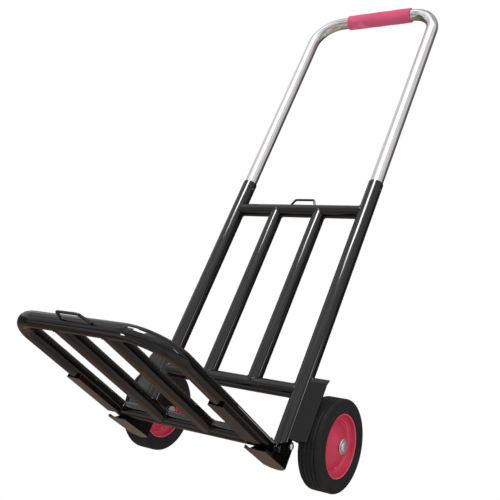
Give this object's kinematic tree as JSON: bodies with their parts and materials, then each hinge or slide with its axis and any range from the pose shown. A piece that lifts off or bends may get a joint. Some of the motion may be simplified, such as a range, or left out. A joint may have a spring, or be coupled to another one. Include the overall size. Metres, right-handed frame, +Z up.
{
  "type": "folding hand truck",
  "caption": "Folding hand truck with a telescopic chrome U handle, a foam grip, a steel tube back, a fold-up tube platform and solid-tyred wheels on bolted axles.",
  "frame": {"origin": "centre of the bounding box at its base, which is the ground that the wheels and the shoes stand on", "axes": "+Z up along the side tubes; +X to the right of someone who faces the platform, along the wheel axles; -Y the way the opened platform points"},
  "size_m": [0.4238, 0.5384, 1.0332],
  "materials": {
    "black_paint": "gloss black stoved paint over steel tube and sheet",
    "chrome": "bright chrome plate",
    "zinc": "bright zinc plate",
    "spring_steel": "bare spring steel",
    "pink_foam": "matt closed-cell foam",
    "red_plastic": "satin moulded crimson",
    "black_rubber": "satin solid rubber",
    "black_plastic": "matt nylon"
  },
  "bodies": {
    "frame": {"upper_crossbar": "black_paint", "lower_crossbar": "black_paint", "back_hook": "black_paint", "left_side_tube": "black_paint", "left_back_slat": "black_paint", "left_shoe": "black_paint", "left_shoe_bolt": "zinc", "left_shoe_nut": "zinc", "left_pivot_pin": "black_paint", "left_pivot_washer": "black_paint", "left_outer_spacer": "zinc", "left_inner_spacer": "zinc", "left_wheel_bracket": "black_paint", "left_axle": "zinc", "left_axle_spacer": "zinc", "left_cap_nut": "zinc", "right_side_tube": "black_paint", "right_back_slat": "black_paint", "right_shoe": "black_paint", "right_shoe_bolt": "zinc", "right_shoe_nut": "zinc", "right_pivot_pin": "black_paint", "right_pivot_washer": "black_paint", "right_outer_spacer": "zinc", "right_inner_spacer": "zinc", "right_wheel_bracket": "black_paint", "right_axle": "zinc", "right_axle_spacer": "zinc", "right_cap_nut": "zinc"},
    "handle": {"handle_tube": "chrome", "foam_grip": "pink_foam", "left_leg_plug": "black_plastic", "left_snap_spring": "spring_steel", "right_leg_plug": "black_plastic", "right_snap_spring": "spring_steel"},
    "left_button": {"left_snap_button": "zinc"},
    "right_button": {"right_snap_button": "zinc"},
    "platform": {"platform_tube": "black_paint", "platform_crossbar": "black_paint", "platform_hook": "black_paint", "left_platform_slat": "black_paint", "left_platform_channel": "black_paint", "left_pivot_bush": "black_plastic", "right_platform_slat": "black_paint", "right_platform_channel": "black_paint", "right_pivot_bush": "black_plastic"},
    "left_wheel": {"left_tyre": "black_rubber", "left_hub": "red_plastic", "left_outer_bush": "black_plastic", "left_inner_bush": "black_plastic"},
    "right_wheel": {"right_tyre": "black_rubber", "right_hub": "red_plastic", "right_outer_bush": "black_plastic", "right_inner_bush": "black_plastic"}
  },
  "joints": [
    {"name": "handle_slide", "type": "slide", "parent": "frame", "child": "handle", "axis": [0, 0, -1], "range_m": [0, 0.385]},
    {"name": "left_snap_press", "type": "slide", "parent": "handle", "child": "left_button", "axis": [-1, 0, 0], "range_m": [0, 0.003], "stiffness_N_per_m": 1500, "springref_m": -0.002, "deforming": ["left_snap_spring"]},
    {"name": "right_snap_press", "type": "slide", "parent": "handle", "child": "right_button", "axis": [-1, 0, 0], "range_m": [0, 0.003], "stiffness_N_per_m": 1500, "springref_m": -0.002, "deforming": ["right_snap_spring"]},
    {"name": "platform_fold", "type": "hinge", "parent": "frame", "child": "platform", "pos_m": [0, 0.08747, 0.0184], "axis": [-1, 0, 0], "range_deg": [0, 87.8]},
    {"name": "left_wheel_spin", "type": "hinge", "parent": "frame", "child": "left_wheel", "pos_m": [-0.18675, 0.19317, 0.076], "axis": [1, 0, 0], "continuous": true},
    {"name": "right_wheel_spin", "type": "hinge", "parent": "frame", "child": "right_wheel", "pos_m": [0.18675, 0.19317, 0.076], "axis": [1, 0, 0], "continuous": true}
  ]
}
